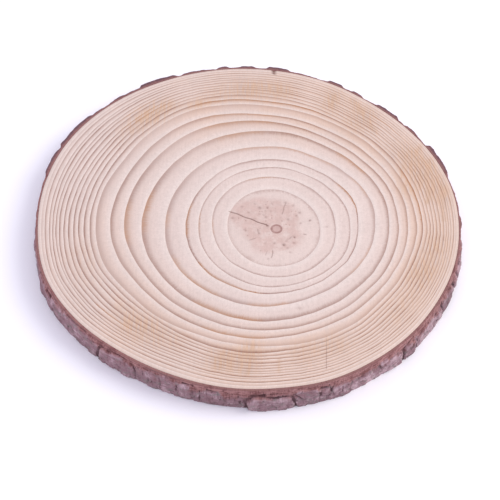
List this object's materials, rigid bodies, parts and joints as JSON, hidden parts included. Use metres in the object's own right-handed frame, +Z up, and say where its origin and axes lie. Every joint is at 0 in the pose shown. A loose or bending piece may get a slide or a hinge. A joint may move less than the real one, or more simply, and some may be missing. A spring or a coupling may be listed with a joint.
{
  "type": "wood slice",
  "caption": "Thin slice sawn across a softwood trunk, with growth rings round an off-centre pith and its bark on, lying flat.",
  "frame": {"origin": "middle of the footprint, on the surface that the slice lies on", "axes": "+Z up through the thickness, towards the sawn face that shows in the picture; +Y towards the back of the picture, +X towards its right"},
  "size_m": [0.1954, 0.1962, 0.012],
  "materials": {
    "wood": "bare sawn and sanded softwood, matt",
    "bark": "rough flaky bark, matt"
  },
  "bodies": {
    "root": {"wood": "wood", "bark": "bark"}
  },
  "joints": []
}
